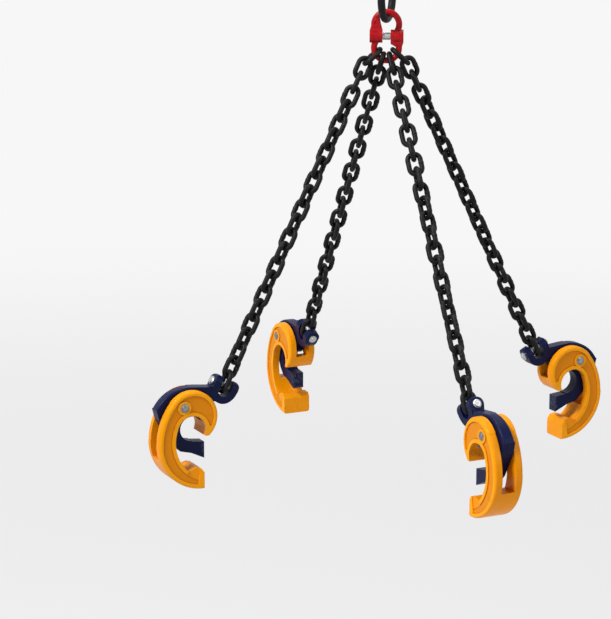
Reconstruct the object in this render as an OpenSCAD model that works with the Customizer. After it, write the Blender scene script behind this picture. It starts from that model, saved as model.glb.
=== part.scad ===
// Lifter: a master link, a two-half coupling and four chain legs.
// Each leg ends in a cast clamp with a forged jaw lever that grips a rim.

/* [Master link] */
// wire diameter of the master link
master_wire = 10.5; // [8:0.5:11]
// clear width inside the master link
master_inside_width = 50; // [40:1:60]
// clear length inside the master link
master_inside_length = 100; // [80:1:120]
// turn of the master link about the vertical
master_turn = 48; // [40:1:70]

/* [Coupling] */
// wire diameter of each half's bow
bow_wire = 8.6; // [8:0.1:8.8]
// centreline radius of the bow
bow_radius = 17; // [17:0.5:20]
// distance from the pin down to the bow's centre
bow_drop = 16; // [15:0.5:20]
// radius of the eyes round the pin
eye_radius = 9; // [8:0.5:10]
// thickness of the single middle eye
eye_middle = 7.9; // [7:0.1:9]
// thickness of each of the two fork eyes
eye_side = 4.5; // [4:0.1:6]
// free width between the two stacks of eyes
eye_spread = 11; // [10:0.5:16]
// running gap on each side of the middle eye
eye_gap = 0.35; // [0.2:0.05:0.6]
// load pin diameter
load_pin = 7.4; // [6:0.1:8.5]
// outer diameter of the sleeve on the load pin
sleeve_diameter = 10; // [9.5:0.1:12]
// turn of the coupling about the vertical
coupling_turn = -28; // [-40:1:-20]

/* [Chain] */
// wire diameter of the chain
chain_wire = 7; // [6.5:0.1:7.2]
// clear length inside a link
chain_inside = 21.5; // [20.5:0.5:24]
// clear width inside a link
link_inside_width = 10; // [9.8:0.1:12]
// number of links in each leg
chain_links = 24; // [16:2:30]
// smallest gap between linked wires
chain_gap = 0.3; // [0.2:0.05:0.5]
// gap between the four top links on the bow
top_link_gap = 0.65; // [0.5:0.05:0.9]
// slope of the two side top links from the vertical, along the bow
side_slope = 47; // [40:1:55]

/* [Clamp body] */
// distance from the middle of the lifter to the pivot pins
pivot_radius = 312; // [290:1:330]
// overall thickness of the clamp body
body_thickness = 42; // [40:1:48]
// width of the slot that holds the lever
slot_width = 20.5; // [19:0.5:22]
// radius of the arch over the rim
arch_radius = 37; // [35:0.5:39]
// radius of the upper back
back_radius = 91; // [86:1:96]
// radius of the lower hook
hook_radius = 66; // [62:1:70]
// distance from the pivot in to the centre of the arch
arch_inset = 11.83; // [10:0.01:14]
// depth of the centre of the arch below the pivot
arch_drop = 15.03; // [13:0.01:17]
// angle where the arch runs into the back
arch_blend = 40; // [37:1:43]
// radius at the top of the mouth
mouth_radius = 21; // [19:0.5:22]
// radius of the back of the mouth
throat_radius = 54; // [51:0.5:56]
// thickness of the wall behind the mouth
back_wall = 24; // [22:0.5:26]
// depth of the mouth's centre below the centre of the arch
mouth_drop = 18; // [16.5:0.1:19.5]
// rounding along the outer edges
edge_round = 3.6; // [2:0.2:5]
// depth of the sunk panel in each side face
panel_depth = 1.5; // [0.8:0.1:2.5]
// width of the raised border round the panel
panel_border = 6; // [4:0.5:7.5]
// radius of the raised boss round the pivot pin
boss_radius = 9.5; // [8:0.5:11]

/* [Lever] */
// thickness of the lever
lever_thickness = 17; // [15:0.5:18]
// outer radius of the lever's arch
lever_radius = 52; // [50:0.5:54]
// radius of the hollow that clears the rim
relief_radius = 17; // [15:0.5:18]
// distance from the pivot in to the clevis pin
fork_reach = 66; // [62:1:72]
// height of the clevis pin above the pivot
fork_rise = 20; // [16:1:24]
// slope of the fork from the vertical
fork_slope = 29; // [26:1:32]
// gap between the prongs
fork_gap = 17; // [16.6:0.2:19]
// thickness of each prong
prong = 10; // [8:0.5:12]
// radius of each prong's eye
prong_radius = 11; // [9.5:0.5:11]
// length of the jaw in from the pivot
jaw_reach = 33; // [30:1:36]
// depth of the jaw below the pivot
jaw_depth = 76; // [73:1:78]

/* [Pins] */
// pivot pin diameter
pivot_pin = 12; // [9:0.5:13]
// clevis pin diameter
clevis_pin = 8.5; // [7:0.1:9]
// clevis pin head diameter
clevis_head = 12; // [11:0.5:14]
// clevis pin head thickness
clevis_head_height = 3; // [2:0.5:4]
// radial running fit of pins in their bores
pin_fit = 0.05; // [0.02:0.01:0.08]

/* [Hidden] */
$fn = 64;
eps = 1;
far = 200;

// heights of the coupling below the hook seat at z = 0
master_crown = -master_inside_length - master_wire / 2;
pin_z = master_crown + master_wire / 2 + chain_gap + bow_wire / 2 - bow_radius - bow_drop;
bow_centre = [0, 0, pin_z - bow_drop];

// stack of eyes along the load pin
stack_in = eye_spread / 2;
mid_in = stack_in + eye_side + eye_gap;
mid_out = mid_in + eye_middle;
stack_out = mid_out + eye_gap + eye_side;
stem_x = (mid_in + mid_out) / 2;
bow_end = asin(sqrt(bow_radius * bow_radius - stem_x * stem_x) / bow_radius);

// directions along and across the coupling
along = [cos(coupling_turn), sin(coupling_turn), 0];
across = [-sin(coupling_turn), cos(coupling_turn), 0];
up = [0, 0, 1];

// chain link sizes
crown_radius = (link_inside_width + chain_wire) / 2;
link_straight = chain_inside - link_inside_width;
crown_reach = (chain_inside + chain_wire) / 2;
upper_last = chain_links / 2;

// places of the four top links on the bow
seat_radius = bow_radius - bow_wire / 2 - chain_gap - chain_wire / 2;
seat_step = 2 * asin((chain_wire + top_link_gap) / 2 / seat_radius);

// legs: right, back, left, front
leg_angle = [0, 90, 180, 270];
leg_seat = [1.5, -0.5, -1.5, 0.5];
leg_slope = [side_slope, -15, -side_slope, 15];
leg_lean = [13.7, 27, -13.7, -27];

// how the roll of the links runs along each leg, as shares of the whole twist
leg_roll = [
    [[0, 0], [0.14, 0.62], [0.55, 0.66], [0.75, 1], [1, 1]],
    [[0, 0], [1, 1]],
    [[0, 0], [0.14, 0.6], [0.84, 0.6], [1, 1]],
    [[0, 0], [0.25, 0.1], [0.42, 1.4], [0.55, 0.8], [0.72, 1.5], [0.9, 1], [1, 1]]
];

function unit(v) = v / norm(v);
function square_to(v, d) = unit(v - (v * d) * d);
function radial(k) = [cos(leg_angle[k]), sin(leg_angle[k]), 0];
function seat_angle(k) = leg_seat[k] * seat_step;
function bow_tangent(k) = cos(seat_angle(k)) * along + sin(seat_angle(k)) * up;
function bow_outward(k) = sin(seat_angle(k)) * along - cos(seat_angle(k)) * up;
function top_dir(k) = unit(cos(leg_lean[k]) * (sin(leg_slope[k]) * along - cos(leg_slope[k]) * up)
    + sin(leg_lean[k]) * across);
function top_crown(k) = bow_centre + bow_radius * bow_outward(k)
    - (bow_radius - seat_radius) * (cos(leg_lean[k]) * bow_outward(k) + sin(leg_lean[k]) * across);
function top_normal(k) = square_to(bow_tangent(k), top_dir(k));
function top_low(k) = top_crown(k) + 2 * crown_reach * top_dir(k);

// height of the clevis pins, from the leg that is pulled straight first
fork_radius = pivot_radius - fork_reach;
leg_full = 2 * crown_reach - 1.5 * chain_wire - clevis_pin / 2 + (chain_links - 2) * chain_inside;
leg_taut = leg_full - chain_links * chain_gap;
function flat_run(k) = norm([for (i = [0, 1]) fork_radius * radial(k)[i] - top_low(k)[i]]);
function taut_z(k) = top_low(k)[2] - sqrt(leg_taut * leg_taut - flat_run(k) * flat_run(k));
fork_z = max([for (k = [0:3]) taut_z(k)]);
pivot_z = fork_z - fork_rise;

// chain line of each leg
function fork_point(k) = fork_radius * radial(k) + fork_z * up;
function leg_dir(k) = unit(fork_point(k) - top_low(k));
function leg_gap(k) = (leg_full - norm(fork_point(k) - top_low(k))) / chain_links;
function link_centre(k, i) = top_low(k) + leg_dir(k)
    * (crown_reach - chain_wire - leg_gap(k) + (i - 2) * (chain_inside - leg_gap(k)));
function roll_a(k) = square_to(cross(top_dir(k), top_normal(k)), leg_dir(k));
function roll_b(k) = cross(leg_dir(k), roll_a(k));
function clevis_axis(k) = cos(fork_slope) * radial(k) + sin(fork_slope) * up;
function half_turn(a) = a - 180 * round(a / 180);
function roll_total(k) = half_turn(atan2(clevis_axis(k) * roll_b(k), clevis_axis(k) * roll_a(k)));
function roll(k, i) = 90 * (i - 2)
    + roll_total(k) * lookup((i - 2) / (chain_links - 2), leg_roll[k]);
function link_normal(k, i) = cos(roll(k, i)) * roll_a(k) + sin(roll(k, i)) * roll_b(k);

// clamp body centres, with the pivot at the origin
blend = 0.4;
// each border stands this much lower than the one before it
level_step = 0.04;
arch_centre = [-arch_inset, -arch_drop];
back_centre = arch_centre - (back_radius - arch_radius + blend) * [cos(arch_blend), sin(arch_blend)];
hook_centre = back_centre + [back_radius - hook_radius + blend, 0];
throat_centre = back_centre + [back_radius - back_wall - throat_radius, 2];
throat_blend = asin((arch_centre[1] - mouth_drop - throat_centre[1]) / (throat_radius - mouth_radius + blend));
throat_end = -49;
mouth_centre = throat_centre
    + (throat_radius - mouth_radius + blend) * [cos(throat_blend), sin(throat_blend)];
nose_sweep = 200;
nose_tip = arch_centre + [-24.2, -26.5];
bridge = arch_centre + [-13.2, -9];
slot_end = back_centre[1] - 20;
foot_tip = hook_centre + [4.1, 29 - hook_radius];

// lever centres
lever_centre = [-10, -27];
relief_centre = [-15, -33];
fork_width = fork_gap + 2 * prong;

// a closed oval link of round wire, long along Z, flat in the XZ plane
module oval_link(wire, inside_width, inside_length) {
    r = (inside_width + wire) / 2;
    h = (inside_length - inside_width) / 2;
    for (m = [0, 1]) mirror([0, 0, m])
        translate([0, 0, h]) rotate([90, 0, 0])
            rotate_extrude(angle = 180) translate([r, 0]) circle(d = wire);
    for (s = [-1, 1]) translate([s * r, 0, -h]) cylinder(d = wire, h = 2 * h);
}

// puts a link with its long axis along d and its flat side square to n
module place(c, d, n) {
    w = cross(n, d);
    multmatrix([[w[0], n[0], d[0], c[0]], [w[1], n[1], d[1], c[1]], [w[2], n[2], d[2], c[2]], [0, 0, 0, 1]])
        children();
}

module chain_link(c, d, n) {
    place(c, d, n) oval_link(chain_wire, link_inside_width, chain_inside);
}

// Master link

module master_link() color("#26272a")
    translate([0, 0, -master_inside_length / 2]) rotate([0, 0, master_turn])
        oval_link(master_wire, master_inside_width, master_inside_length);

// Coupling

// one half with its pin at the origin, bow below, fork on +X and single eye on -X
module coupling_half() {
    difference() {
        union() {
            translate([0, 0, -bow_drop]) rotate([90, 0, 0]) rotate([0, 0, 180 - bow_end])
                rotate_extrude(angle = 180 + 2 * bow_end) translate([bow_radius, 0]) circle(d = bow_wire);
            translate([-mid_out, 0, 0]) rotate([0, 90, 0]) cylinder(r = eye_radius, h = eye_middle);
            intersection() {
                rotate([90, 0, 90]) translate([0, 0, stack_in]) linear_extrude(stack_out - stack_in) {
                    circle(eye_radius);
                    polygon([[-eye_radius, 0], [-bow_wire / 2 + 0.3, -bow_drop + 1.5],
                        [bow_wire / 2 - 0.3, -bow_drop + 1.5], [eye_radius, 0]]);
                }
                rotate([90, 0, 0]) translate([0, 0, -eye_radius - eps])
                    linear_extrude(2 * eye_radius + 2 * eps)
                        polygon([[stack_in, eye_radius], [stack_in, -eye_radius - 1],
                            [bow_radius - bow_wire / 2 + 0.1, -bow_drop + 1.5],
                            [bow_radius + bow_wire / 2 - 0.3, -bow_drop + 1.5],
                            [stack_out, -eye_radius + 1], [stack_out, eye_radius]]);
            }
        }
        // slot for the other half's middle eye
        translate([mid_in - eye_gap, 0, 0]) rotate([0, 90, 0])
            cylinder(r = eye_radius + 0.5, h = eye_middle + 2 * eye_gap);
        // room for the other half's fork eyes beside the middle eye
        translate([-mid_in, 0, 0]) rotate([0, 90, 0])
            cylinder(r = eye_radius + 0.5, h = eye_side + 2 * eye_gap);
        translate([-stack_out - eye_gap, 0, 0]) rotate([0, 90, 0])
            cylinder(r = eye_radius + 0.5, h = eye_side + 2 * eye_gap);
        rotate([0, 90, 0]) cylinder(d = load_pin + 2 * pin_fit, h = far, center = true);
    }
}

module coupling_lower_half() color("#b3161c")
    translate([0, 0, pin_z]) rotate([0, 0, coupling_turn]) coupling_half();

module coupling_upper_half() color("#b3161c")
    translate([0, 0, pin_z]) rotate([0, 0, coupling_turn]) rotate([0, 180, 0]) coupling_half();

module load_pin_bar() color("#b9bcc0")
    translate([0, 0, pin_z]) rotate([0, 0, coupling_turn]) rotate([0, 90, 0]) {
        cylinder(d = load_pin, h = 2 * stack_out - 2, center = true);
        for (m = [0, 1]) mirror([0, 0, m]) translate([0, 0, stack_out - 1])
            cylinder(d1 = load_pin, d2 = load_pin - 1.4, h = 0.7);
    }

module pin_sleeve() color("#c6c8ca")
    translate([0, 0, pin_z]) rotate([0, 0, coupling_turn]) rotate([0, 90, 0]) difference() {
        cylinder(d = sleeve_diameter, h = eye_spread - 2 * eye_gap, center = true);
        cylinder(d = load_pin + 2 * pin_fit, h = far, center = true);
    }

// Chain legs

module top_link(k) color("#2b2c2f")
    chain_link(top_crown(k) + crown_reach * top_dir(k), top_dir(k), top_normal(k));

module chain_run(k, first, last) color("#2b2c2f")
    for (i = [first:last]) chain_link(link_centre(k, i), leg_dir(k), link_normal(k, i));

// Clamp body

// a raised border along the outside, part of a ring with rounded outer edges
module rim(c, r, width, from, sweep, t) {
    translate([c[0], 0, c[1]]) rotate([90, 0, 0]) rotate([0, 0, from]) rotate_extrude(angle = sweep) {
        translate([r - width, -t]) square([width - edge_round, 2 * t]);
        translate([r - width, -t + edge_round]) square([width, 2 * (t - edge_round)]);
        for (s = [-1, 1]) translate([r - edge_round, s * (t - edge_round)]) circle(edge_round);
    }
}

// a raised border round the mouth
module lip(c, r, from, sweep, t)
    translate([c[0], 0, c[1]]) rotate([90, 0, 0]) rotate([0, 0, from]) rotate_extrude(angle = sweep)
        translate([r - eps, -t]) square([panel_border - 1 + eps, 2 * t]);

module flat_sector(c, r, from, to) {
    intersection() {
        translate(c) circle(r);
        translate(c) polygon([[0, 0], for (i = [0:4]) far * [cos(from + i * (to - from) / 4),
            sin(from + i * (to - from) / 4)]]);
    }
}

// outline of the web between the borders, a little inside the outer edge
module web_outline() {
    flat_sector(arch_centre, arch_radius - 2, arch_blend, arch_blend + nose_sweep);
    flat_sector(back_centre, back_radius - 2, 0, arch_blend);
    flat_sector(hook_centre, hook_radius - 2, -90, 0);
}

// outline of the mouth and of its open side, from the nose down to the foot
module mouth_outline() {
    translate(mouth_centre) circle(mouth_radius);
    flat_sector(throat_centre, throat_radius, throat_end, throat_blend + 2);
    polygon([nose_tip + [-64, 59.5], nose_tip + [-10, 10.5], nose_tip, nose_tip + [10, 0],
        mouth_centre + [0, 4], throat_centre + [0.9 * throat_radius, 0], foot_tip + [18, -1.6],
        foot_tip + [7, 2], foot_tip, [hook_centre[0] - 1.5, foot_tip[1] - 8],
        [nose_tip[0] - 64, foot_tip[1] - 8]]);
}

module clamp_body_shape() {
    t = body_thickness / 2;
    difference() {
        union() {
            // web, set back from the borders on both sides
            rotate([90, 0, 0]) linear_extrude(2 * (t - panel_depth), center = true) difference() {
                web_outline();
                mouth_outline();
            }
            // borders of the arch, the back and the hook
            rim(arch_centre, arch_radius, panel_border, arch_blend - 3, nose_sweep - 5, t);
            rim(back_centre, back_radius, panel_border, -2, arch_blend + 4, t - level_step);
            rim(hook_centre, hook_radius, panel_border, -90, 92, t);
            // solid foot
            rim(hook_centre, hook_radius - 0.5, 31, -90, 9, t - 2 * level_step);
            // borders of the mouth
            lip(mouth_centre, mouth_radius, 10, 205, t - 3 * level_step);
            lip(throat_centre, throat_radius, throat_end, throat_blend + 2 - throat_end, t - 4 * level_step);
            // boss round the pivot pin
            rotate([90, 0, 0]) cylinder(r = boss_radius, h = 2 * t, center = true);
            // solid nose
            rotate([90, 0, 0]) linear_extrude(2 * (t - 5 * level_step), center = true) intersection() {
                translate(arch_centre) circle(arch_radius - 4);
                translate(nose_tip + [-24, -8.5]) square([40, 22]);
            }
        }
        rotate([90, 0, 0]) linear_extrude(far, center = true) mouth_outline();
        // slot for the lever, closed at the nose and at the lower hook
        rotate([90, 0, 0]) linear_extrude(slot_width, center = true)
            polygon([[-far, bridge[1]], bridge, [bridge[0], slot_end], [far, slot_end],
                [far, far], [-far, far]]);
        // pivot bore
        rotate([90, 0, 0]) cylinder(d = pivot_pin + 2 * pin_fit, h = far, center = true);
    }
}

module pivot_pin_shape() rotate([90, 0, 0]) {
    cylinder(d = pivot_pin, h = body_thickness, center = true);
    for (m = [0, 1]) mirror([0, 0, m]) translate([0, 0, body_thickness / 2])
        cylinder(d1 = pivot_pin, d2 = pivot_pin - 3, h = 0.8);
}

// Lever

module lever_arch() {
    r = 3;
    t = lever_thickness / 2;
    translate([lever_centre[0], 0, lever_centre[1]]) rotate([90, 0, 0]) rotate([0, 0, 28])
        rotate_extrude(angle = 66) {
            translate([lever_radius - 38, -t]) square([38 - r, 2 * t]);
            translate([lever_radius - 38, -t + r]) square([38, 2 * (t - r)]);
            for (s = [-1, 1]) translate([lever_radius - r, s * (t - r)]) circle(r);
        }
}

module lever_plate() {
    kink = lever_centre + lever_radius * [cos(28), sin(28)];
    rotate([90, 0, 0]) linear_extrude(lever_thickness, center = true) {
        difference() {
            polygon([kink, kink + [-4, -15], [24, -32], [12, -53], [2, -63], [-14, -67],
                [-jaw_reach, -jaw_depth], [-jaw_reach, relief_centre[1] - relief_radius - 3],
                relief_centre + [0, -relief_radius - 1], relief_centre, [-30, -19], [-46, 2],
                [-fork_reach + 8, fork_rise - 20], [-fork_reach + 6, fork_rise + 3],
                [-43, 22], [-25, 24], lever_centre + lever_radius * [cos(94), sin(94)],
                lever_centre + (lever_radius - 8) * [cos(61), sin(61)]]);
            translate(relief_centre) circle(relief_radius);
        }
    }
}

module fork_shape() {
    translate([-fork_reach, 0, fork_rise]) rotate([0, -fork_slope, 0]) {
        intersection() {
            rotate([90, 0, 0]) linear_extrude(4 * prong_radius, center = true) difference() {
                union() {
                    translate([0, -6]) circle(fork_width / 2);
                    for (s = [-1, 1]) translate([s * (fork_gap + prong) / 2, 0]) {
                        translate([0, prong_radius - prong / 2]) circle(prong / 2);
                        translate([-prong / 2, -6]) square([prong, 6 + prong_radius - prong / 2]);
                    }
                }
                translate([0, -6]) circle(fork_gap / 2);
                translate([-fork_gap / 2, -6]) square([fork_gap, far]);
            }
            rotate([90, 0, 90]) linear_extrude(2 * fork_width, center = true) {
                circle(prong_radius);
                polygon([[-prong_radius, 0], [-lever_thickness / 2, -15], [-lever_thickness / 2, -40],
                    [lever_thickness / 2, -40], [lever_thickness / 2, -15], [prong_radius, 0]]);
            }
        }
    }
}

module lever_shape() {
    difference() {
        union() {
            lever_arch();
            lever_plate();
            fork_shape();
        }
        rotate([90, 0, 0]) cylinder(d = pivot_pin + 2 * pin_fit, h = far, center = true);
        // the fork's own gap, kept free of the neck
        translate([-fork_reach, 0, fork_rise]) rotate([0, -fork_slope, 0]) rotate([90, 0, 0])
            linear_extrude(far, center = true) {
                translate([0, -6]) circle(fork_gap / 2);
                translate([-fork_gap / 2, -6]) square([fork_gap, far]);
            }
        // clevis bore
        translate([-fork_reach, 0, fork_rise]) rotate([0, 90 - fork_slope, 0])
            cylinder(d = clevis_pin + 2 * pin_fit, h = 2 * fork_width, center = true);
    }
}

module clevis_pin_shape() {
    translate([-fork_reach, 0, fork_rise]) rotate([0, -fork_slope, 0]) rotate([0, 90, 0]) {
        cylinder(d = clevis_pin, h = fork_width + 1, center = true);
        for (m = [0, 1]) mirror([0, 0, m]) translate([0, 0, fork_width / 2 + pin_fit]) {
            cylinder(d = clevis_head, h = clevis_head_height - 1);
            translate([0, 0, clevis_head_height - 1])
                cylinder(d1 = clevis_head, d2 = clevis_head - 3, h = 1);
        }
    }
}

// puts a piece of a clamp at leg k
module at_leg(k) rotate([0, 0, leg_angle[k]]) translate([pivot_radius, 0, pivot_z]) children();

module jaw_lever(k) color("#1b2050") at_leg(k) lever_shape();
module clevis_pin_at(k) color("#c9ccd0") at_leg(k) clevis_pin_shape();
module clamp_body(k) color("#f5a312") at_leg(k) clamp_body_shape();
module pivot_pin_at(k) color("#aeb2b6") at_leg(k) pivot_pin_shape();

module right_top_link() top_link(0);
module right_upper_chain() chain_run(0, 2, upper_last);
module right_lower_chain() chain_run(0, upper_last + 1, chain_links - 1);
module right_end_link() chain_run(0, chain_links, chain_links);
module right_jaw_lever() jaw_lever(0);
module right_clevis_pin() clevis_pin_at(0);
module right_clamp_body() clamp_body(0);
module right_pivot_pin() pivot_pin_at(0);

module back_top_link() top_link(1);
module back_upper_chain() chain_run(1, 2, upper_last);
module back_lower_chain() chain_run(1, upper_last + 1, chain_links - 1);
module back_end_link() chain_run(1, chain_links, chain_links);
module back_jaw_lever() jaw_lever(1);
module back_clevis_pin() clevis_pin_at(1);
module back_clamp_body() clamp_body(1);
module back_pivot_pin() pivot_pin_at(1);

module left_top_link() top_link(2);
module left_upper_chain() chain_run(2, 2, upper_last);
module left_lower_chain() chain_run(2, upper_last + 1, chain_links - 1);
module left_end_link() chain_run(2, chain_links, chain_links);
module left_jaw_lever() jaw_lever(2);
module left_clevis_pin() clevis_pin_at(2);
module left_clamp_body() clamp_body(2);
module left_pivot_pin() pivot_pin_at(2);

module front_top_link() top_link(3);
module front_upper_chain() chain_run(3, 2, upper_last);
module front_lower_chain() chain_run(3, upper_last + 1, chain_links - 1);
module front_end_link() chain_run(3, chain_links, chain_links);
module front_jaw_lever() jaw_lever(3);
module front_clevis_pin() clevis_pin_at(3);
module front_clamp_body() clamp_body(3);
module front_pivot_pin() pivot_pin_at(3);

master_link();
coupling_upper_half();
coupling_lower_half();
load_pin_bar();
pin_sleeve();
right_top_link();
right_upper_chain();
right_lower_chain();
right_end_link();
right_jaw_lever();
right_clevis_pin();
right_clamp_body();
right_pivot_pin();
back_top_link();
back_upper_chain();
back_lower_chain();
back_end_link();
back_jaw_lever();
back_clevis_pin();
back_clamp_body();
back_pivot_pin();
left_top_link();
left_upper_chain();
left_lower_chain();
left_end_link();
left_jaw_lever();
left_clevis_pin();
left_clamp_body();
left_pivot_pin();
front_top_link();
front_upper_chain();
front_lower_chain();
front_end_link();
front_jaw_lever();
front_clevis_pin();
front_clamp_body();
front_pivot_pin();
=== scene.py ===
import math
import bmesh
import bpy
import numpy
from mathutils import Matrix, Vector


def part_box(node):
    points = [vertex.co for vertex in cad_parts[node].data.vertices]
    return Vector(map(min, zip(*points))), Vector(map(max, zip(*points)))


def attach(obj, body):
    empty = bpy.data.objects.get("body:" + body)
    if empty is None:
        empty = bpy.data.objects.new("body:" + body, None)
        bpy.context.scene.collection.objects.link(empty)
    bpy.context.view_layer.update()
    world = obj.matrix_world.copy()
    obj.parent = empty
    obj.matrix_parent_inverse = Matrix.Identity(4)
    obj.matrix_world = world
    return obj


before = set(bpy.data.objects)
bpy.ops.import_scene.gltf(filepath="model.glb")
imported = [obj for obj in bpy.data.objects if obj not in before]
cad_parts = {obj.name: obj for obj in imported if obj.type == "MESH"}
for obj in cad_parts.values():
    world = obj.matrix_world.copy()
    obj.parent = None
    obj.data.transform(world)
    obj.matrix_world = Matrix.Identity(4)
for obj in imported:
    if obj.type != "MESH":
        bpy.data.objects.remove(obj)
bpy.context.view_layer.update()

# Camera
# It looks down on the lifter from in front of the gap between the left and front legs,
# through a long lens from a little over three metres away.
left_low, left_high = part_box("left_pivot_pin")
grip_drop = 0.0214
grip_level = (left_low[2] + left_high[2]) / 2 - grip_drop
turn = math.radians(-27.68)
to_right = Vector((math.cos(turn), math.sin(turn), 0))
away = Vector((-math.sin(turn), math.cos(turn), 0))
pitch = math.radians(12.64)
yaw = math.radians(-1.96)
roll = math.radians(0.06)
looking = (to_right * math.sin(yaw) + away * math.cos(yaw)) * math.cos(pitch)
looking.z = -math.sin(pitch)
side = looking.cross(Vector((0, 0, 1))).normalized()
upright = side.cross(looking)
view_right = side * math.cos(roll) + upright * math.sin(roll)
view_up = upright * math.cos(roll) - side * math.sin(roll)
lens = bpy.data.cameras.new("camera")
lens.sensor_fit = "AUTO"
lens.sensor_width = 36
focal_pixels = 2358
picture_height = 619
lens.lens = focal_pixels / picture_height * lens.sensor_width
lens.clip_end = 60
camera = bpy.data.objects.new("camera", lens)
bpy.context.collection.objects.link(camera)
facing = Matrix((view_right, view_up, -looking)).transposed().to_4x4()
camera_back = 3.219
camera_rise = 0.845
camera_place = away * -camera_back + Vector((0, 0, grip_level + camera_rise))
camera.matrix_world = Matrix.Translation(camera_place) @ facing
bpy.context.scene.camera = camera

# Floor, light and background
# A plain pale floor well below the clamps, which keeps its shadow near the middle and fades to the
# white surround far off, and three large soft lamps.
floor_drop = 0.88
floor_level = grip_level - floor_drop
bpy.ops.object.select_all(action="DESELECT")
bpy.ops.mesh.primitive_plane_add(size=60, location=(0, 0, floor_level))
floor = bpy.context.object
floor.name = "floor"
floor_paint = bpy.data.materials.new("floor_pale")
floor_paint.use_nodes = True
bsdf = floor_paint.node_tree.nodes["Principled BSDF"]
bsdf.inputs["Base Color"].default_value = (0.70, 0.70, 0.71, 1)
bsdf.inputs["Roughness"].default_value = 0.9
bsdf.inputs["Specular IOR Level"].default_value = 0.1
floor.data.materials.append(floor_paint)

scene = bpy.context.scene
scene.view_settings.view_transform = "Standard"
world = bpy.data.worlds.new("studio")
scene.world = world
world.use_nodes = True
air = world.node_tree.nodes["Background"]
air.inputs["Color"].default_value = (1, 1, 1, 1)
air.inputs["Strength"].default_value = 0.22


def seen_white(tree, shader, end, kind, share=None):
    """Shows white in place of a shader to the camera and in reflections, all of it or by a share."""
    white = tree.nodes.new(kind)
    white.inputs["Color"].default_value = (0.93, 0.93, 0.94, 1)
    white.inputs["Strength"].default_value = 1.0
    path = tree.nodes.new("ShaderNodeLightPath")
    seen = path.outputs["Is Camera Ray"]
    for ray in ("Is Glossy Ray", "Is Transmission Ray"):
        either = tree.nodes.new("ShaderNodeMath")
        either.operation = "MAXIMUM"
        tree.links.new(seen, either.inputs[0])
        tree.links.new(path.outputs[ray], either.inputs[1])
        seen = either.outputs[0]
    if share is not None:
        part = tree.nodes.new("ShaderNodeMath")
        part.operation = "MULTIPLY"
        tree.links.new(seen, part.inputs[0])
        tree.links.new(share, part.inputs[1])
        seen = part.outputs[0]
    pick = tree.nodes.new("ShaderNodeMixShader")
    tree.links.new(seen, pick.inputs[0])
    tree.links.new(shader.outputs[0], pick.inputs[1])
    tree.links.new(white.outputs[0], pick.inputs[2])
    tree.links.new(pick.outputs[0], tree.nodes[end].inputs["Surface"])


seen_white(world.node_tree, air, "World Output", "ShaderNodeBackground")
nodes, links = floor_paint.node_tree.nodes, floor_paint.node_tree.links
place = nodes.new("ShaderNodeTexCoord")
from_middle = nodes.new("ShaderNodeVectorMath")
from_middle.operation = "LENGTH"
links.new(place.outputs["Object"], from_middle.inputs[0])
fade = nodes.new("ShaderNodeMapRange")
fade.interpolation_type = "SMOOTHSTEP"
links.new(from_middle.outputs["Value"], fade.inputs["Value"])
for limit, value in (("From Min", 1.0), ("From Max", 6.0), ("To Min", 0.55), ("To Max", 1.0)):
    fade.inputs[limit].default_value = value
seen_white(floor_paint.node_tree, bsdf, "Material Output", "ShaderNodeEmission", fade.outputs["Result"])


def soft_lamp(name, place, target, size, power):
    """A rectangular lamp of a width and height that faces a target."""
    lamp = bpy.data.lights.new(name, "AREA")
    lamp.shape = "RECTANGLE"
    lamp.size, lamp.size_y = size
    lamp.energy = power
    stand = bpy.data.objects.new(name, lamp)
    bpy.context.collection.objects.link(stand)
    spot = Vector(place)
    stand.location = spot
    stand.rotation_euler = (Vector(target) - spot).to_track_quat("-Z", "Y").to_euler()


middle = (0, 0, -0.4)
soft_lamp("key_lamp", to_right * -3.2 + away * -2.8 + Vector((0, 0, 3.6)), middle, (1.6, 1.2), 350)
soft_lamp("fill_lamp", to_right * 4.0 + away * -2.4 + Vector((0, 0, 1.6)), middle, (3.2, 3.2), 56)
soft_lamp("top_lamp", away * 1.2 + Vector((0, 0, 4.4)), middle, (2.4, 2.4), 130)


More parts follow.
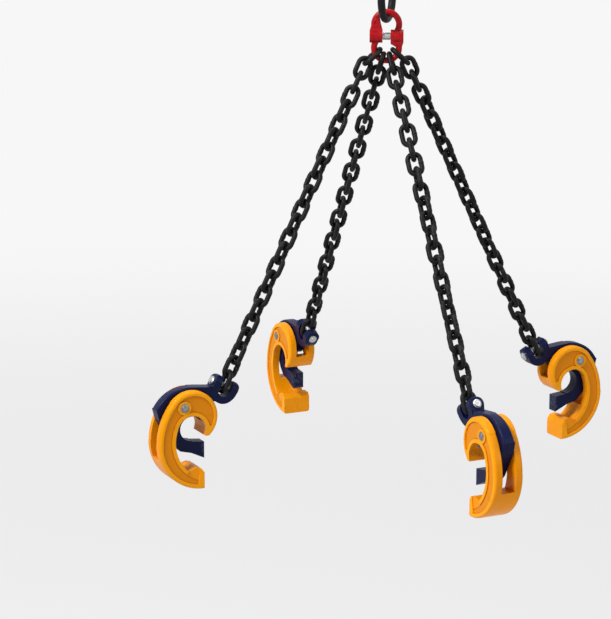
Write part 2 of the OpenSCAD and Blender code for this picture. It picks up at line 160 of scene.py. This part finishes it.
# Master link
# Oval of round bar, bent hot and welded shut, that the hoist hook takes. Black enamel, worn
# where the hook and the coupling bear on it.
class Shade:
    """A value in a material. Sums on it add Math nodes, and node() adds any other node."""

    def __init__(self, tree, socket=None):
        self.tree = tree
        self.socket = socket

    def node(self, kind, settings=None, out=0, **values):
        new = self.tree.nodes.new("ShaderNode" + kind)
        for key, value in (settings or {}).items():
            if key == "stops":
                while len(new.color_ramp.elements) < len(value):
                    new.color_ramp.elements.new(0.5)
                for element, (place, colour) in zip(new.color_ramp.elements, value):
                    element.position = place
                    element.color = colour
            else:
                setattr(new, key, value)
        for key, value in values.items():
            place = int(key[1:]) if key[1:].isdigit() else key.replace("_", " ")
            if isinstance(value, Shade):
                self.tree.links.new(value.socket, new.inputs[place])
            else:
                new.inputs[place].default_value = value
        return Shade(self.tree, new.outputs[out])

    def math(self, operation, a, b=0.0, c=0.0):
        return self.node("Math", {"operation": operation}, i0=a, i1=b, i2=c)

    def __add__(self, other):
        return self.math("ADD", self, other)

    def __radd__(self, other):
        return self.math("ADD", other, self)

    def __sub__(self, other):
        return self.math("SUBTRACT", self, other)

    def __rsub__(self, other):
        return self.math("SUBTRACT", other, self)

    def __mul__(self, other):
        return self.math("MULTIPLY", self, other)

    def __rmul__(self, other):
        return self.math("MULTIPLY", other, self)

    def step(self, low, high):
        """0 below low, 1 above high, smooth between."""
        return self.node("MapRange", {"interpolation_type": "SMOOTHSTEP"}, i0=self, i1=low, i2=high)

    def mix(self, colour_a, colour_b):
        """colour_a where this value is 0, colour_b where it is 1."""
        return self.node("Mix", {"data_type": "RGBA"}, 2, i0=self, i6=colour_a, i7=colour_b)

    def noise(self, where, scale, detail=3.0, roughness=0.5):
        return self.node("TexNoise", None, 0, Vector=where, Scale=scale, Detail=detail, Roughness=roughness)


def start_finish(name):
    """A new material, its shader node, and the place on the piece as a Shade."""
    finish = bpy.data.materials.new(name)
    finish.use_nodes = True
    tree = finish.node_tree
    shader = tree.nodes["Principled BSDF"]
    where = Shade(tree).node("TexCoord", None, 3)
    return finish, shader, where


def wire_up(shader, where, colour, roughness, bump=None, depth=0.0003, strength=0.3, **fixed):
    """Joins colour, roughness and bump to the shader and sets its fixed values."""
    links = where.tree.links
    links.new(colour.socket, shader.inputs["Base Color"])
    links.new(roughness.socket, shader.inputs["Roughness"])
    if bump is not None:
        relief = where.node("Bump", None, 0, Height=bump, Strength=strength, Distance=depth)
        links.new(relief.socket, shader.inputs["Normal"])
    for key, value in fixed.items():
        shader.inputs[key.replace("_", " ")].default_value = value


def dress(finish, *nodes):
    """Gives a finish to CAD nodes."""
    for name in nodes:
        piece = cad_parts[name]
        piece.data.materials.clear()
        piece.data.materials.append(finish)


enamel, shader, where = start_finish("master_black_enamel")
cloud = where.noise(where, 60.0, 4.0)
scuff = where.noise(where, 420.0, 5.0, 0.65)
height = where.node("SeparateXYZ", None, 2, Vector=where)
worn_low = 1 - (height + 0.094).step(-0.006, 0.010)
bare = (scuff + worn_low * 0.17 + cloud * 0.10).step(0.72, 0.86)
black = cloud.mix((0.004, 0.004, 0.0045, 1), (0.014, 0.014, 0.016, 1))
wire_up(shader, where, bare.mix(black, (0.035, 0.035, 0.038, 1)), 0.38 + cloud * 0.16 + bare * 0.1,
    scuff, 0.0002, 0.25, Specular_IOR_Level=0.12)
dress(enamel, "master_link")

# Coupling halves
# Two equal drop forgings that lock together, each a bow with a fork on one side and an eye on the
# other. Red baked coating over the slightly grained forged skin.
red_coat, shader, where = start_finish("coupling_red_coat")
cloud = where.noise(where, 45.0, 3.0)
grain = where.noise(where, 700.0, 3.0)
chip = where.noise(where, 260.0, 6.0, 0.7)
dust = where.noise(where, 120.0, 5.0, 0.6).step(0.50, 0.75)
red = cloud.mix((0.28, 0.002, 0.005, 1), (0.50, 0.005, 0.009, 1))
red = (dust * 0.22).mix(red, (0.60, 0.06, 0.06, 1))
red = chip.step(0.72, 0.75).mix(red, (0.05, 0.02, 0.02, 1))
wire_up(shader, where, red, 0.26 + cloud * 0.15 + dust * 0.12, grain, 0.00025, 0.35,
    Specular_IOR_Level=0.14, Coat_Weight=0.05, Coat_Roughness=0.10)
dress(red_coat, "coupling_upper_half", "coupling_lower_half")

# Load pin and clevis pins
# Turned steel bars with zinc plating. The load pin joins the coupling halves inside its sleeve, and a
# clevis pin closes each lever's fork.
plated, shader, where = start_finish("pin_zinc_plate")
cloud = where.noise(where, 90.0, 3.0)
turning = where.noise(where, 900.0, 2.0)
stain = where.noise(where, 160.0, 5.0, 0.65).step(0.50, 0.72)
zinc = cloud.mix((0.34, 0.35, 0.36, 1), (0.58, 0.59, 0.60, 1))
zinc = (stain * 0.6).mix(zinc, (0.17, 0.15, 0.12, 1))
wire_up(shader, where, zinc, 0.30 + cloud * 0.14 + stain * 0.2, turning, 0.0001, 0.2, Metallic=1.0)
dress(plated, "load_pin_bar", "pin_sleeve")

# Fork shoulder of the upper half
# The forging thickens inside the bow where it runs down into the fork, so that the fork can take the
# pull. It is one piece with the half and has the same red coating.
pin_low, pin_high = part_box("load_pin_bar")
pin_middle = (Vector(pin_low) + Vector(pin_high)) / 2
coupling_turn = math.radians(-28)
pin_axis = Vector((math.cos(coupling_turn), math.sin(coupling_turn), 0))
shoulder_half = 0.0056
shoulder_line = ((-19.8, 12.5), (-6.4, 8.6), (-6.5, 12.5), (-7.7, 16.5), (-8.4, 20.5), (-9.6, 25.0),
    (-12.0, 29.0), (-15.6, 25.5), (-18.2, 20.5), (-19.6, 16.0))
bpy.ops.object.select_all(action="DESELECT")
bpy.ops.mesh.primitive_circle_add(vertices=len(shoulder_line), radius=0.01, fill_type="NGON")
shoulder = bpy.context.object
shoulder.name = "shoulder"
bpy.ops.object.mode_set(mode="EDIT")
bpy.ops.mesh.select_mode(type="VERT")
shape = bmesh.from_edit_mesh(shoulder.data)
for corner, (out, high) in zip(shape.verts, shoulder_line):
    corner.co = (out / 1000, high / 1000, -shoulder_half)
bpy.ops.mesh.select_all(action="SELECT")
bpy.ops.mesh.extrude_region_move(TRANSFORM_OT_translate={"value": (0, 0, 2 * shoulder_half)})
taper_from = 0.018
taper = 0.76
shape = bmesh.from_edit_mesh(shoulder.data)
for corner in shape.verts:
    corner.select_set(corner.co.y > taper_from)
shape.select_flush_mode()
bpy.ops.transform.resize(value=(1, 1, taper), center_override=(0, 0, 0))
bpy.ops.mesh.select_all(action="SELECT")
bpy.ops.mesh.normals_make_consistent(inside=False)
bpy.ops.object.mode_set(mode="OBJECT")
soft_edge = shoulder.modifiers.new("soft_edge", "BEVEL")
soft_edge.width = 0.0026
soft_edge.segments = 5
soft_edge.limit_method = "ANGLE"
soft_edge.angle_limit = math.radians(50)
bpy.ops.object.modifier_apply(modifier="soft_edge")
bpy.ops.object.shade_smooth_by_angle(angle=math.radians(50))


def facing_along(place, long_axis, side_axis):
    """The matrix that puts Z on long_axis and X on side_axis at a place."""
    z = long_axis.normalized()
    x = (side_axis - z * side_axis.dot(z)).normalized()
    turned = Matrix((x, z.cross(x), z)).transposed().to_4x4()
    return Matrix.Translation(place) @ turned


def copies(model, name, turns, finish, body):
    """One piece made of copies of a model, each turned and placed by a matrix."""
    made = []
    for turn_to in turns:
        one = bpy.data.objects.new(name, model.data.copy())
        one.data.transform(turn_to)
        bpy.context.collection.objects.link(one)
        made.append(one)
    bpy.ops.object.select_all(action="DESELECT")
    for one in made:
        one.select_set(True)
    bpy.context.view_layer.objects.active = made[0]
    if len(made) > 1:
        bpy.ops.object.join()
    piece = bpy.context.view_layer.objects.active
    piece.name = name
    piece.data.materials.clear()
    piece.data.materials.append(finish)
    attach(piece, body)
    return piece


level_axis = pin_axis.cross(Vector((0, 0, 1)))
copies(shoulder, "coupling_upper_shoulder", [facing_along(pin_middle, level_axis, pin_axis)], red_coat,
    "coupling_upper")
bpy.data.objects.remove(shoulder)

# Coupling shims
# Thin punched steel rings on the load pin fill the running gaps beside the two middle eyes, dark with
# grease. The pin carries them, so they turn with the upper half.
greased, shader, where = start_finish("shim_greased_steel")
smear = where.noise(where, 300.0, 5.0, 0.6)
oily = smear.mix((0.010, 0.006, 0.005, 1), (0.035, 0.022, 0.018, 1))
wire_up(shader, where, oily, 0.35 + smear * 0.25, smear, 0.0001, 0.2, Specular_IOR_Level=0.2)
shim_radius = 0.0088
shim_wall = 0.0049
shim_thickness = 0.0003
shim_places = (0.010175, 0.018425)
bpy.ops.object.select_all(action="DESELECT")
bpy.ops.mesh.primitive_cylinder_add(vertices=56, radius=shim_radius, depth=shim_thickness)
shim = bpy.context.object
shim.name = "shim"
bpy.ops.object.mode_set(mode="EDIT")
bpy.ops.mesh.select_mode(type="FACE")
shape = bmesh.from_edit_mesh(shim.data)
for face in shape.faces:
    face.select_set(abs(face.normal.z) > 0.9)
bpy.ops.mesh.inset(thickness=shim_wall, use_individual=True)
bpy.ops.mesh.bridge_edge_loops()
bpy.ops.object.mode_set(mode="OBJECT")
bpy.ops.object.shade_smooth_by_angle(angle=math.radians(35))
turns = [facing_along(pin_middle + pin_axis * way * off, pin_axis, Vector((0, 0, 1)))
    for off in shim_places for way in (-1, 1)]
copies(shim, "coupling_shims", turns, greased, "coupling_upper")
bpy.data.objects.remove(shim)

# Chain legs
# Short-link lifting chain of round wire, each link bent and welded, blackened all over, with scattered
# lighter patches that are partly rubbing wear and partly painted highlight.
blacked, shader, where = start_finish("chain_black_oxide")
cloud = where.noise(where, 70.0, 4.0)
scale_skin = where.noise(where, 520.0, 4.0, 0.6)
rub = where.noise(where, 150.0, 5.0, 0.7).step(0.56, 0.70)
oxide = cloud.mix((0.003, 0.003, 0.0034, 1), (0.009, 0.009, 0.010, 1))
# The scattered lighter patches are partly rubbing wear and partly a painted highlight on the black steel.
oxide = (rub * 0.6).mix(oxide, (0.045, 0.044, 0.044, 1))
wire_up(shader, where, oxide, 0.36 + scale_skin * 0.2 - rub * 0.08, scale_skin, 0.0002, 0.35,
    Specular_IOR_Level=0.14)
legs = {"right": 0, "back": 90, "left": 180, "front": 270}
for leg in legs:
    dress(blacked, leg + "_top_link", leg + "_upper_chain", leg + "_lower_chain", leg + "_end_link")
    dress(plated, leg + "_clevis_pin")

# Link welds
# Each link is closed by a flash weld in the middle of one straight side, trimmed to a slight collar.
# It is the same blackened steel as the link, a little rougher.
def shape_collar(name, wire, length):
    """A collar on Z that swells out of a round bar of that diameter, as a new object."""
    bpy.ops.object.select_all(action="DESELECT")
    bpy.ops.mesh.primitive_cylinder_add(vertices=20, radius=wire * 0.486, depth=length)
    collar = bpy.context.object
    collar.name = name
    bpy.ops.object.mode_set(mode="EDIT")
    bpy.ops.mesh.select_mode(type="EDGE")
    shape = bmesh.from_edit_mesh(collar.data)
    for edge in shape.edges:
        edge.select_set(abs(edge.verts[0].co.z - edge.verts[1].co.z) > length / 2)
    bpy.ops.mesh.subdivide(number_cuts=3)
    bpy.ops.mesh.select_mode(type="VERT")
    shape = bmesh.from_edit_mesh(collar.data)
    for corner in shape.verts:
        corner.select_set(abs(corner.co.z) < length * 0.3)
    shape.select_flush_mode()
    bpy.ops.transform.resize(value=(1.15, 1.15, 1))
    bpy.ops.object.mode_set(mode="OBJECT")
    rounding = collar.modifiers.new("rounding", "SUBSURF")
    rounding.levels = rounding.render_levels = 1
    bpy.ops.object.modifier_apply(modifier="rounding")
    lumps = bpy.data.textures.new(name + "_lumps", "CLOUDS")
    lumps.noise_scale = wire * 0.5
    uneven = collar.modifiers.new("uneven", "DISPLACE")
    uneven.texture = lumps
    uneven.strength = wire * 0.03
    uneven.mid_level = 0.5
    bpy.ops.object.modifier_apply(modifier="uneven")
    bpy.ops.object.shade_smooth()
    return collar


one_way = numpy.array((0.61, 0.37, 0.70))


def links_of(node):
    """Middle, long axis and side axis of each link in a CAD node, the axes turned one way."""
    found = []
    mesh = bmesh.new()
    mesh.from_mesh(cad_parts[node].data)
    bmesh.ops.remove_doubles(mesh, verts=mesh.verts, dist=0.000002)
    mesh.verts.index_update()
    taken = [False] * len(mesh.verts)
    for start in mesh.verts:
        if taken[start.index]:
            continue
        taken[start.index] = True
        todo = [start]
        points = []
        while todo:
            corner = todo.pop()
            points.append(corner.co[:])
            for edge in corner.link_edges:
                other = edge.other_vert(corner)
                if not taken[other.index]:
                    taken[other.index] = True
                    todo.append(other)
        points = numpy.array(points)
        middle = (points.min(0) + points.max(0)) / 2
        axes = numpy.linalg.svd(points - points.mean(0), full_matrices=False)[2]
        along, aside = (Vector(axis) if axis @ one_way > 0 else -Vector(axis) for axis in axes[:2])
        found.append((Vector(middle), along, aside))
    mesh.free()
    return found


chain_wire = 0.007
weld_length = 0.0056
link_half_width = 0.0085
collar = shape_collar("weld_collar", chain_wire, weld_length)
groups = {"top_link": "top", "upper_chain": "upper", "lower_chain": "lower", "end_link": "end"}
for leg in legs:
    for node, body in groups.items():
        turns = [facing_along(middle + aside * link_half_width, along, aside)
            for middle, along, aside in links_of(leg + "_" + node)]
        copies(collar, leg + "_" + node + "_welds", turns, blacked, leg + "_" + body)
bpy.data.objects.remove(collar)

# Pivot pins and pin ends
# The pivot pins are bare steel, dulled by oil and upset cold over the bosses, and the clevis pins have
# turned and plated heads. Both ends of each show a shallow dished face with a centre mark.
dull_steel, shader, where = start_finish("pivot_dull_steel")
cloud = where.noise(where, 110.0, 4.0)
turning = where.noise(where, 900.0, 2.0)
oil = where.noise(where, 240.0, 5.0, 0.65).step(0.44, 0.70)
steel = cloud.mix((0.16, 0.165, 0.17, 1), (0.36, 0.37, 0.37, 1))
steel = (oil * 0.7).mix(steel, (0.06, 0.055, 0.045, 1))
wire_up(shader, where, steel, 0.34 + cloud * 0.14 + oil * 0.2, turning, 0.0001, 0.2, Metallic=1.0)
for leg in legs:
    dress(dull_steel, leg + "_pivot_pin")


def shape_pin_end(name, radius, height):
    """A low dished button that stands on Z = 0, as a new object."""
    bpy.ops.object.select_all(action="DESELECT")
    bpy.ops.mesh.primitive_cylinder_add(vertices=40, radius=radius, depth=height, location=(0, 0, 0))
    button = bpy.context.object
    button.name = name
    bpy.ops.object.mode_set(mode="EDIT")
    bpy.ops.mesh.select_mode(type="FACE")
    shape = bmesh.from_edit_mesh(button.data)
    for face in shape.faces:
        face.select_set(face.normal.z > 0.9)
    bpy.ops.mesh.inset(thickness=radius * 0.16)
    bpy.ops.transform.translate(value=(0, 0, height * 0.35))
    bpy.ops.mesh.inset(thickness=radius * 0.34)
    bpy.ops.transform.translate(value=(0, 0, -height * 0.25))
    bpy.ops.mesh.inset(thickness=radius * 0.28)
    bpy.ops.mesh.inset(thickness=radius * 0.06)
    bpy.ops.transform.translate(value=(0, 0, -height * 0.45))
    bpy.ops.object.mode_set(mode="OBJECT")
    edges = button.modifiers.new("edges", "BEVEL")
    edges.width = height * 0.22
    edges.segments = 2
    edges.angle_limit = math.radians(40)
    bpy.ops.object.modifier_apply(modifier="edges")
    bpy.ops.object.shade_smooth_by_angle(angle=math.radians(35))
    return button


pin_end_radius = 0.0044
pin_end_height = 0.0009
pin_end_rise = 0.0002
pivot_end = shape_pin_end("pivot_pin_end", pin_end_radius, pin_end_height)
clevis_end = shape_pin_end("clevis_pin_end", pin_end_radius, pin_end_height)
fork_slope = math.radians(29)
for leg, angle in legs.items():
    outward = Vector((math.cos(math.radians(angle)), math.sin(math.radians(angle)), 0))
    sideways = Vector((-outward.y, outward.x, 0))
    fork_way = outward * math.cos(fork_slope) + Vector((0, 0, math.sin(fork_slope)))
    for node, model, axis, body, finish in (("_pivot_pin", pivot_end, sideways, "_clamp", dull_steel),
            ("_clevis_pin", clevis_end, fork_way, "_lever", plated)):
        points = [corner.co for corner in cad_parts[leg + node].data.vertices]
        low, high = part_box(leg + node)
        middle = (Vector(low) + Vector(high)) / 2
        half = max((point - middle).dot(axis) for point in points)
        turns = [facing_along(middle + axis * (half + pin_end_rise) * way, axis * way, Vector((0, 0, 1)))
            for way in (-1, 1)]
        copies(model, leg + node + "_ends", turns, finish, leg + body)
bpy.data.objects.remove(pivot_end)
bpy.data.objects.remove(clevis_end)

# Jaw levers
# Forged levers with a fork for the end link, an eye for the pivot and a jaw at the lower end.
# Dark blue paint over a forged skin, rubbed thin at the jaw and in the fork.
pivot_low, pivot_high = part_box("right_pivot_pin")
pivot_reach = (pivot_low[0] + pivot_high[0]) / 2
pivot_level = (pivot_low[2] + pivot_high[2]) / 2


def on_clamp(where, leg):
    """The place on one clamp: outward, across and up from its pivot, in metres."""
    local = where.node("Mapping", {"vector_type": "POINT"}, 0, Vector=where,
        Rotation=(0, 0, math.radians(-legs[leg])), Location=(-pivot_reach, 0, -pivot_level))
    return local, [where.node("SeparateXYZ", None, axis, Vector=local) for axis in range(3)]


for leg in legs:
    navy, shader, where = start_finish(leg + "_lever_dark_blue")
    local, (out, across, high) = on_clamp(where, leg)
    cloud = where.noise(local, 40.0, 3.0)
    skin = where.noise(local, 330.0, 4.0, 0.55)
    rub = where.noise(local, 190.0, 6.0, 0.7)
    jaw = (1 - (out + 0.033).step(0.001, 0.009)) * (1 - (high + 0.040).step(0.0, 0.004))
    flash = 1 - where.math("ABSOLUTE", across).step(0.0006, 0.0014)
    bare = (rub + jaw * 0.22).step(0.68, 0.74)
    blue = cloud.mix((0.0012, 0.0036, 0.026, 1), (0.003, 0.007, 0.052, 1))
    blue = bare.mix(blue, (0.030, 0.034, 0.062, 1))
    wire_up(shader, where, blue, 0.30 + skin * 0.18 + bare * 0.1, skin * 0.8 + flash * 0.8, 0.0005, 0.5,
        Specular_IOR_Level=0.10, Coat_Weight=0.03, Coat_Roughness=0.08)
    dress(navy, leg + "_jaw_lever")

# Clamp bodies
# Cast steel clamps with two cheeks, sunk side panels, an open mouth and a hooked foot.
# Thick yellow paint over the cast skin, with painted shade in the sunk panels, along their edges and round
# the pivot boss, a painted highlight on the raised borders, and chips on the borders.
arch_blend = math.radians(40)
arch_middle = Vector((-0.01183, -0.01503))
back_middle = arch_middle - 0.0544 * Vector((math.cos(arch_blend), math.sin(arch_blend)))
hook_middle = back_middle + Vector((0.0254, 0))
throat_middle = back_middle + Vector((0.0130, 0.0020))
throat_blend = math.radians(26.6)
mouth_middle = throat_middle + 0.0334 * Vector((math.cos(throat_blend), math.sin(throat_blend)))
arch_panel = 0.031
back_panel = 0.085
hook_panel = 0.060
mouth_panel = 0.026
throat_panel = 0.059


def distance(out, high, middle):
    """How far a place on the cheek is from a middle."""
    aside = out - middle.x
    above = high - middle.y
    return out.math("SQRT", aside * aside + above * above)


def past_line(out, high, middle, angle):
    """1 on the upper side of a line through a middle at that angle, else 0."""
    above = (high - middle.y) * math.cos(angle) - (out - middle.x) * math.sin(angle)
    return above.step(-0.0002, 0.0002)


def pick(mask, one, other):
    """The first value where the mask is 1, and the other where it is 0."""
    return mask * one + (1 - mask) * other


for leg in legs:
    yellow_paint, shader, where = start_finish(leg + "_clamp_yellow_paint")
    local, (out, across, high) = on_clamp(where, leg)
    cloud = where.noise(local, 26.0, 3.0)
    cast = where.noise(local, 240.0, 4.0, 0.55)
    pits = where.noise(local, 620.0, 2.0, 0.4).step(0.25, 0.45)
    chip = where.noise(local, 170.0, 7.0, 0.72)
    grime = where.noise(local, 60.0, 6.0, 0.65).step(0.52, 0.80)
    beside = where.math("ABSOLUTE", across)
    border = beside.step(0.0200, 0.0208)
    mouth = distance(out, high, mouth_middle)
    in_arch = arch_panel - distance(out, high, arch_middle)
    in_back = back_panel - distance(out, high, back_middle)
    in_hook = hook_panel - distance(out, high, hook_middle)
    in_lower = pick(past_line(out, high, back_middle, 0), in_back, in_hook)
    inside = pick(past_line(out, high, arch_middle, arch_blend), in_arch, in_lower)
    off_mouth = mouth - mouth_panel
    off_throat = distance(out, high, throat_middle) - throat_panel
    outside = pick(past_line(out, high, throat_middle, throat_blend), off_mouth, off_throat)
    from_border = where.math("MINIMUM", inside, outside)
    sunk = beside.step(0.0188, 0.0193) * (1 - beside.step(0.0197, 0.0203))
    panel = sunk * from_border.step(-0.0006, 0.0)
    # Painted shade along the edges of the sunk panels, at the foot of the borders.
    corner_painted_shade = (1 - from_border.step(0.0004, 0.0024)) * panel
    rubbed = 1 - mouth.step(0.0212, 0.0228)
    seam = 1 - beside.step(0.0007, 0.0016)
    from_pivot = where.math("SQRT", out * out + high * high)
    # Painted shade: darker close round the pivot pin and in a ring at the foot of the boss.
    pivot_painted_shade = (1 - from_pivot.step(0.0062, 0.0085)) * 0.55
    pivot_painted_shade = pivot_painted_shade + (1 - where.math("ABSOLUTE", from_pivot - 0.0098).step(0.0, 0.0014)) * panel * 0.6
    yellow = cloud.mix((0.82, 0.262, 0.0006, 1), (0.92, 0.335, 0.001, 1))
    # Painted highlight: the raised borders are a paler yellow.
    yellow = (border * 0.50).mix(yellow, (0.98, 0.43, 0.004, 1))
    # Painted shade in the sunk panels and along their edges, mixed with random real grime.
    yellow = (panel * 0.34 + grime * 0.32 + corner_painted_shade * 0.38).mix(yellow, (0.50, 0.135, 0.001, 1))
    yellow = (pivot_painted_shade * cast).mix(yellow, (0.10, 0.035, 0.004, 1))
    edge_chip = where.noise(local, 330.0, 7.0, 0.7)
    knocked = (edge_chip + border * 0.05).step(0.735, 0.765) * border
    bare = where.math("MAXIMUM", chip.step(0.735, 0.760), knocked)
    yellow = bare.mix(yellow, (0.09, 0.05, 0.03, 1))
    scrape = where.noise(local, 420.0, 6.0, 0.7).step(0.50, 0.66) * rubbed
    yellow = (scrape * 0.7).mix(yellow, (0.33, 0.20, 0.09, 1))
    wire_up(shader, where, yellow, 0.30 + cast * 0.14 + grime * 0.15 + bare * 0.1,
        cast * 0.5 + pits * 0.5 + seam * 0.6 - bare * 0.6, 0.0006, 0.5,
        Specular_IOR_Level=0.09, Coat_Weight=0.06, Coat_Roughness=0.08)
    dress(yellow_paint, leg + "_clamp_body")
